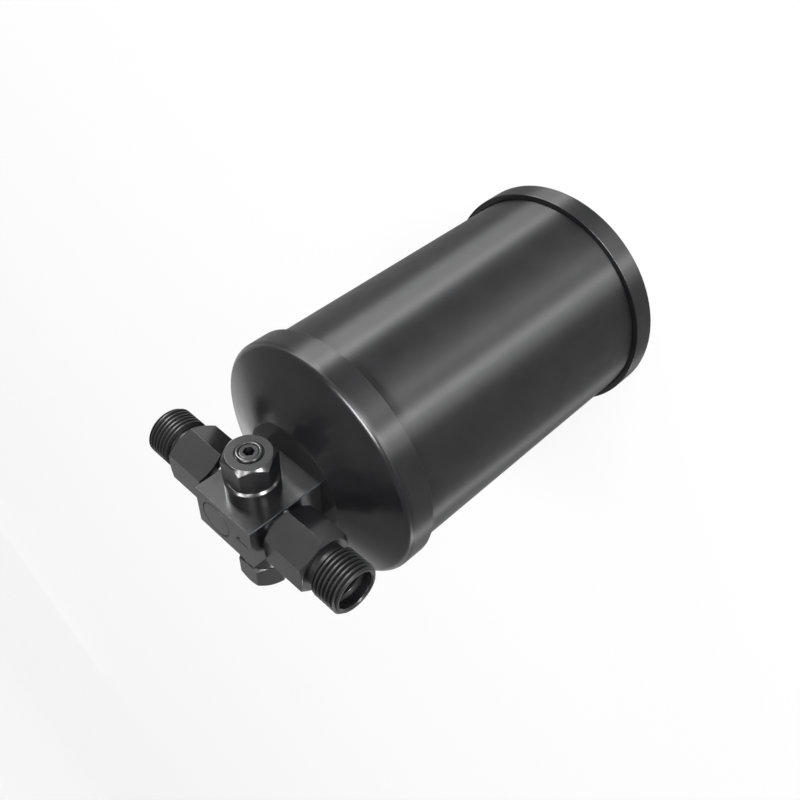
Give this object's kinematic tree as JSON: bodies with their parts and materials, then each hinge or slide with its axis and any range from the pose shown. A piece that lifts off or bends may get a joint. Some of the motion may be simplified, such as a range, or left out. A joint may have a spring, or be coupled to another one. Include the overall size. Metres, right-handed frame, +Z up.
{
  "type": "receiver drier",
  "caption": "Upright receiver drier: a black steel vessel with a cross-drilled head block, opposed threaded fittings, a relief valve and a capped access port.",
  "frame": {"origin": "centre of the base, on the face that it stands on", "axes": "+Z up along the vessel towards the head block, +X towards the outlet fitting, -X towards the inlet fitting, -Y towards the relief valve"},
  "size_m": [0.083, 0.0806, 0.1507],
  "materials": {
    "black_painted_steel": "satin",
    "plain_steel": "satin",
    "spring_steel": "satin",
    "brass": "satin",
    "seal_rubber": "matte",
    "filter_felt": "matte",
    "desiccant_beads": "matte"
  },
  "bodies": {
    "vessel": {"body_shell": "black_painted_steel", "base_cap": "black_painted_steel", "head_cap": "black_painted_steel", "manifold_block": "black_painted_steel", "passage_plug": "black_painted_steel", "inlet_fitting": "black_painted_steel", "inlet_o_ring": "seal_rubber", "outlet_fitting": "black_painted_steel", "outlet_o_ring": "seal_rubber", "relief_body": "black_painted_steel", "relief_o_ring": "seal_rubber", "relief_spring": "spring_steel", "relief_retainer": "black_painted_steel", "access_port_body": "black_painted_steel", "access_port_o_ring": "seal_rubber", "access_core": "brass", "access_core_spring": "spring_steel", "access_port_cap": "black_painted_steel", "access_cap_seal": "seal_rubber", "pickup_tube": "plain_steel", "tube_strainer": "plain_steel", "lower_plate": "plain_steel", "lower_filter_pad": "filter_felt", "desiccant_bed": "desiccant_beads", "upper_filter_pad": "filter_felt", "upper_plate": "plain_steel", "bed_spring": "spring_steel"},
    "poppet": {"relief_poppet": "brass", "relief_seat_seal": "seal_rubber"},
    "core_pin": {"access_core_pin": "brass"}
  },
  "joints": [
    {"name": "relief_lift", "type": "slide", "parent": "vessel", "child": "poppet", "axis": [0, -1, 0], "range_m": [0, 0.0012], "stiffness_N_per_m": 3700, "springref_m": -0.0032, "deforming": ["relief_spring"]},
    {"name": "core_pin_press", "type": "slide", "parent": "vessel", "child": "core_pin", "axis": [0, -1, 0], "range_m": [0, 0.001], "stiffness_N_per_m": 2000, "springref_m": -0.00125, "deforming": ["access_core_spring"]}
  ]
}
